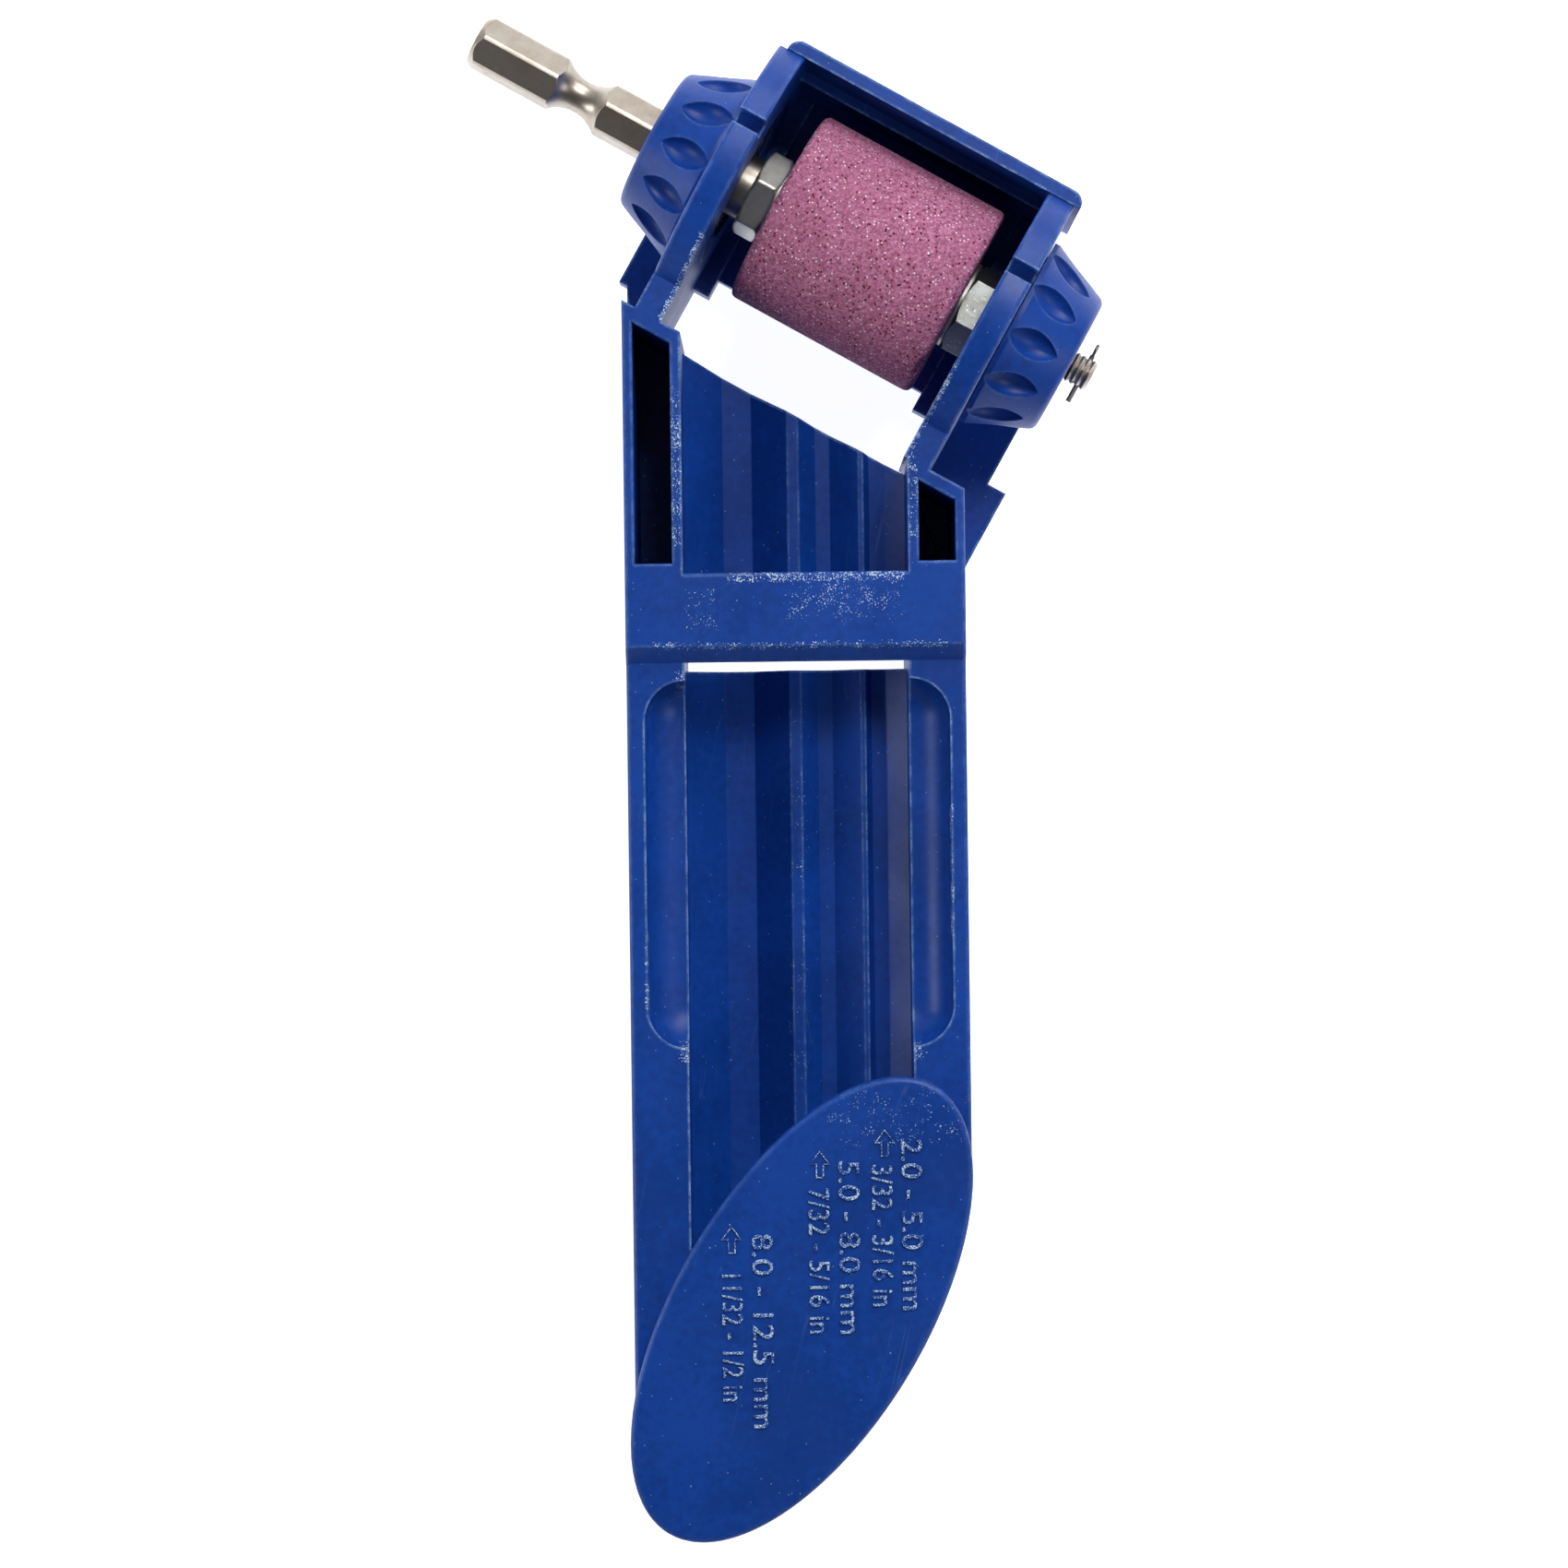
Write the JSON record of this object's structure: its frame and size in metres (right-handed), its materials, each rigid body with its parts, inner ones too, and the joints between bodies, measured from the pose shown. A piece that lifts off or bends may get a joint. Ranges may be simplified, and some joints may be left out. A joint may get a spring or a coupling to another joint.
{
  "type": "drill bit sharpener",
  "caption": "Drill bit sharpener: a grooved plastic guide trough whose angled head holds a cylindrical grinding wheel on a hex-shank spindle between two adjustable end knobs.",
  "frame": {"origin": "on the flat back plane, on the trough's centre line and level with the middle of the grinding wheel", "axes": "+Z out of the grooved front towards the user, +Y along the trough towards the head, +X to the right seen from the front"},
  "size_m": [0.0779, 0.1866, 0.037],
  "materials": {
    "blue_plastic": "semi-gloss moulded, scuffed along its edges",
    "nickel_steel": "nickel plated, satin with fine turning marks",
    "zinc_steel": "bright zinc plated",
    "spring_wire": "plain drawn wire",
    "black_spring_steel": "black phosphated",
    "bearing_steel": "ground and polished",
    "cage_steel": "pressed sheet",
    "pink_corundum": "coarse vitrified abrasive grain"
  },
  "bodies": {
    "frame": {"body": "blue_plastic"},
    "left_knob": {"knob_left": "blue_plastic", "left_bearing_outer_ring": "bearing_steel", "left_bearing_shields": "cage_steel", "retaining_ring_left": "black_spring_steel"},
    "right_knob": {"knob_right": "blue_plastic", "right_bearing_outer_ring": "bearing_steel", "right_bearing_shields": "cage_steel", "retaining_ring_right": "black_spring_steel"},
    "left_cage": {"left_bearing_cage": "cage_steel", "left_bearing_balls": "bearing_steel"},
    "right_cage": {"right_bearing_cage": "cage_steel", "right_bearing_balls": "bearing_steel"},
    "spindle": {"arbor": "nickel_steel", "grinding_wheel": "pink_corundum", "nut_left": "zinc_steel", "nut_right": "zinc_steel", "washer_left": "zinc_steel", "washer_right": "zinc_steel", "arbor_circlip": "black_spring_steel", "left_bearing_inner_ring": "bearing_steel", "right_bearing_inner_ring": "bearing_steel", "cotter_pin": "spring_wire"}
  },
  "joints": [
    {"name": "knob_left_turn", "type": "hinge", "parent": "frame", "child": "left_knob", "pos_m": [0.0095, 0, 0.018], "axis": [0.8704, -0.4924, 0], "range_deg": [-75, 75]},
    {"name": "knob_right_turn", "type": "hinge", "parent": "frame", "child": "right_knob", "pos_m": [0.0095, 0, 0.018], "axis": [0.8704, -0.4924, 0], "range_deg": [-75, 75]},
    {"name": "spindle_spin", "type": "hinge", "parent": "left_knob", "child": "spindle", "pos_m": [0.0095, 0, 0.019], "axis": [0.8704, -0.4924, 0], "continuous": true},
    {"name": "left_cage_spin", "type": "hinge", "parent": "left_knob", "child": "left_cage", "pos_m": [0.0095, 0, 0.019], "axis": [0.8704, -0.4924, 0], "continuous": true},
    {"name": "right_cage_spin", "type": "hinge", "parent": "right_knob", "child": "right_cage", "pos_m": [0.0095, 0, 0.019], "axis": [0.8704, -0.4924, 0], "continuous": true}
  ],
  "couplings": [
    {"joint": "knob_right_turn", "follows": "knob_left_turn", "ratio": 1},
    {"joint": "left_cage_spin", "follows": "spindle_spin", "ratio": 0.4},
    {"joint": "right_cage_spin", "follows": "spindle_spin", "ratio": 0.36667}
  ]
}
